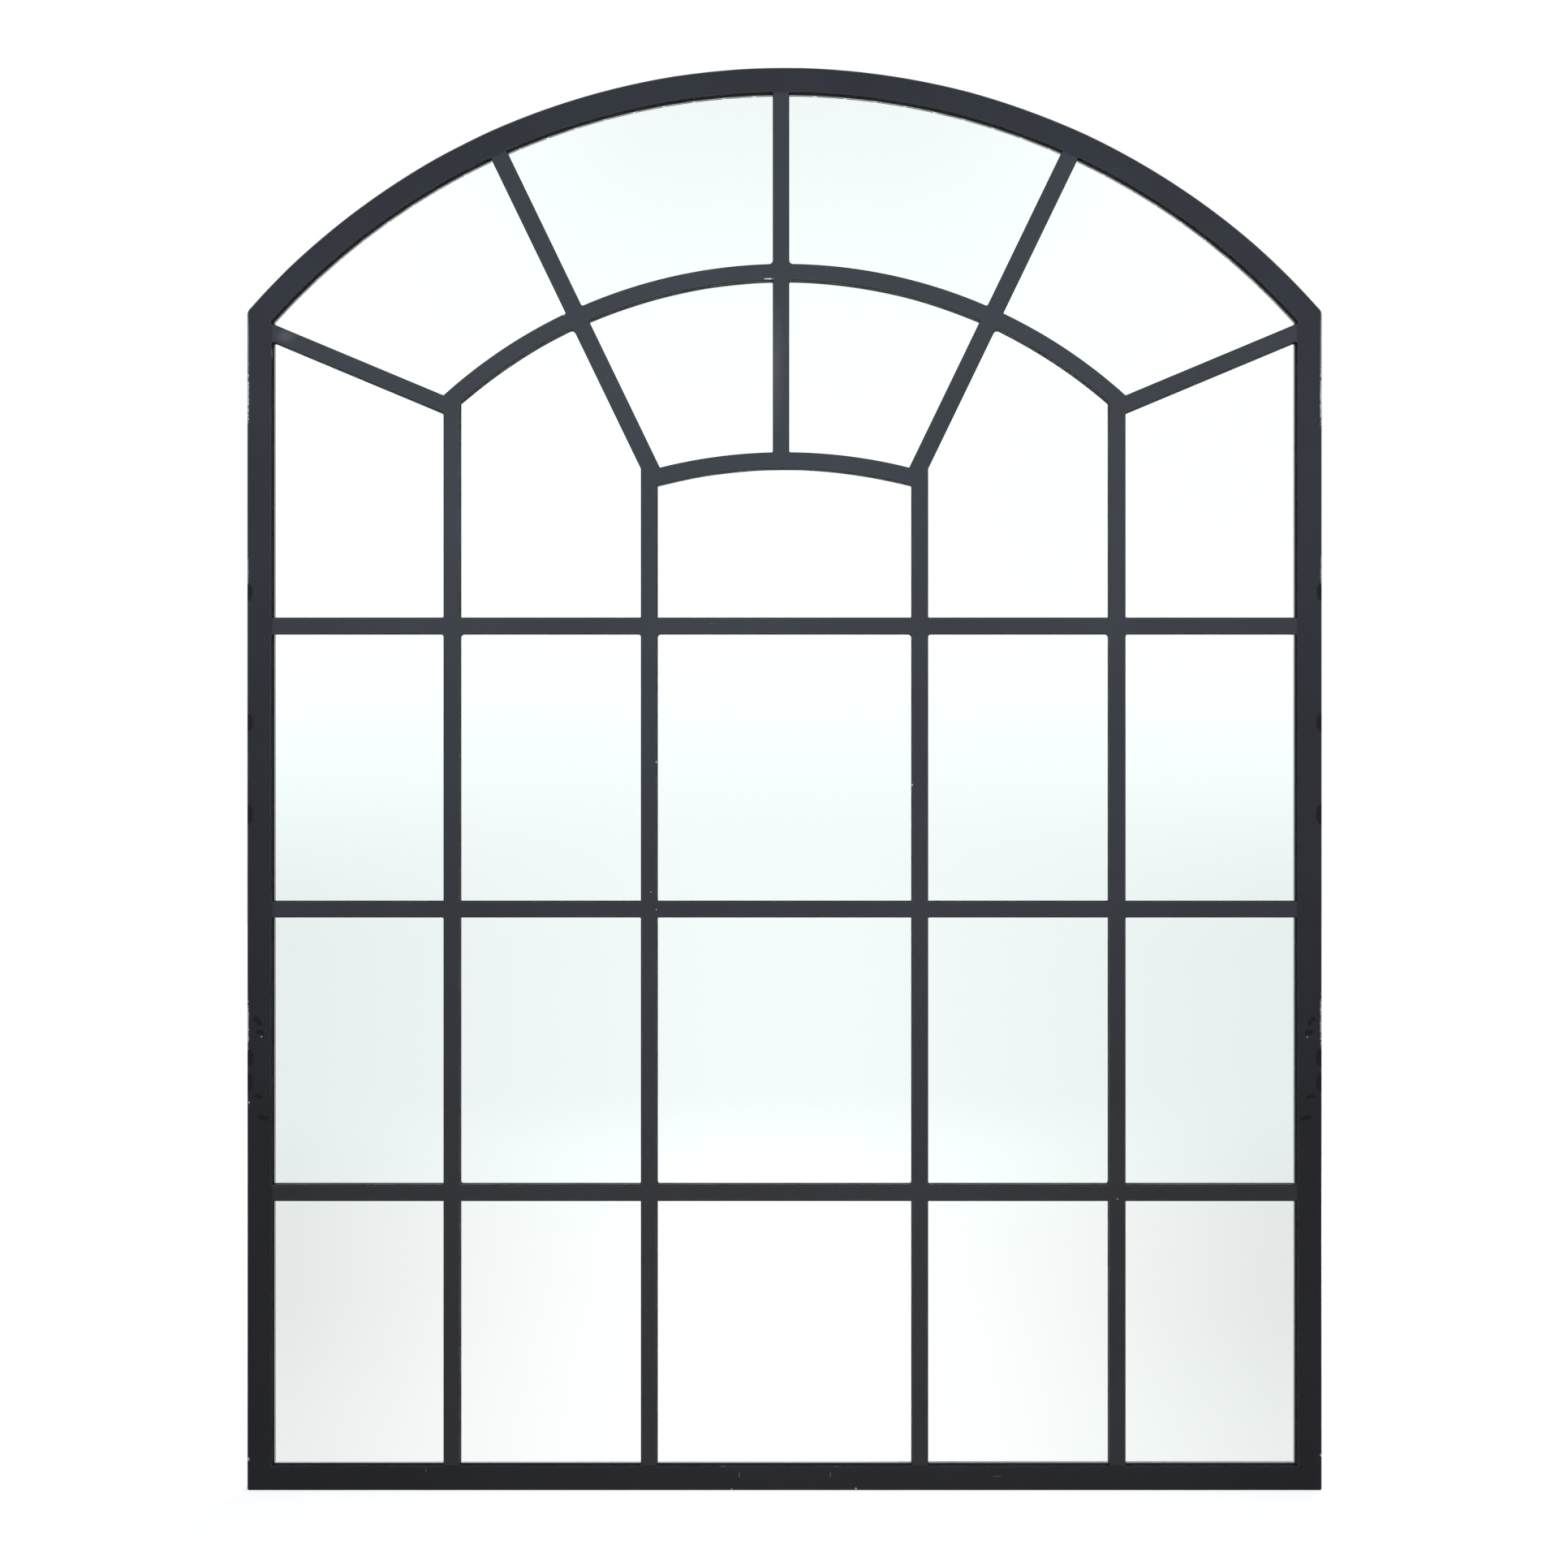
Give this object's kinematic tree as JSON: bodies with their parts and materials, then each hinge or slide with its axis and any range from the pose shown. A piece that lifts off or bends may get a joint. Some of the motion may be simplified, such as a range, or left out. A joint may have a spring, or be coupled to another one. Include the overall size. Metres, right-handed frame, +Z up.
{
  "type": "arched window mirror",
  "caption": "Arched wall mirror set behind a welded steel window grille, with square panes below and arched and fanned bars at the top.",
  "frame": {"origin": "centre of the bottom rail's underside, half way through the depth of the border tube", "axes": "+X to the right seen from the front, +Y from the front to the wall, +Z up"},
  "size_m": [0.914, 0.03, 1.2101],
  "materials": {
    "charcoal_paint": "satin charcoal paint with a slight blue and purple variation, edges worn brighter",
    "mirror_silver": "silvered float glass with a faint cool tint",
    "hardboard": "plain pressed hardboard, smooth side out",
    "black_mastic": "matt",
    "foam_tape": "matt",
    "zinc_plate": "bright zinc plate",
    "black_rubber": "matt"
  },
  "bodies": {
    "mirror_frame": {"arch_rail": "charcoal_paint", "backing_board": "hardboard", "board_clips": "zinc_plate", "bottom_rail": "charcoal_paint", "clip_screws": "zinc_plate", "edge_seal": "black_mastic", "glazing_tape": "foam_tape", "hanger_screws": "zinc_plate", "hanger_strap_left": "zinc_plate", "hanger_strap_right": "zinc_plate", "inner_fan_arch": "charcoal_paint", "inner_mullion_left": "charcoal_paint", "inner_mullion_right": "charcoal_paint", "left_stile": "charcoal_paint", "lower_centre_bar": "charcoal_paint", "lower_end_bar_left": "charcoal_paint", "lower_end_bar_right": "charcoal_paint", "lower_fan_bar_left": "charcoal_paint", "lower_fan_bar_right": "charcoal_paint", "lower_middle_bar": "charcoal_paint", "lower_side_bar_left": "charcoal_paint", "lower_side_bar_right": "charcoal_paint", "middle_end_bar_left": "charcoal_paint", "middle_end_bar_right": "charcoal_paint", "middle_middle_bar": "charcoal_paint", "middle_side_bar_left": "charcoal_paint", "middle_side_bar_right": "charcoal_paint", "mirror_sheet": "mirror_silver", "outer_fan_arch": "charcoal_paint", "outer_mullion_left": "charcoal_paint", "outer_mullion_right": "charcoal_paint", "right_stile": "charcoal_paint", "shoulder_bar_left": "charcoal_paint", "shoulder_bar_right": "charcoal_paint", "upper_centre_bar": "charcoal_paint", "upper_end_bar_left": "charcoal_paint", "upper_end_bar_right": "charcoal_paint", "upper_fan_bar_left": "charcoal_paint", "upper_fan_bar_right": "charcoal_paint", "upper_middle_bar": "charcoal_paint", "upper_side_bar_left": "charcoal_paint", "upper_side_bar_right": "charcoal_paint", "wall_bumper_left": "black_rubber", "wall_bumper_right": "black_rubber"},
    "left_ring": {"hanger_ring_left": "zinc_plate"},
    "right_ring": {"hanger_ring_right": "zinc_plate"}
  },
  "joints": [
    {"name": "left_ring_swing", "type": "hinge", "parent": "mirror_frame", "child": "left_ring", "pos_m": [-0.4464, 0.0143, 0.93995], "axis": [1, 0, 0], "range_deg": [0, 180]},
    {"name": "right_ring_swing", "type": "hinge", "parent": "mirror_frame", "child": "right_ring", "pos_m": [0.4464, 0.0143, 0.93995], "axis": [1, 0, 0], "range_deg": [0, 180]}
  ]
}
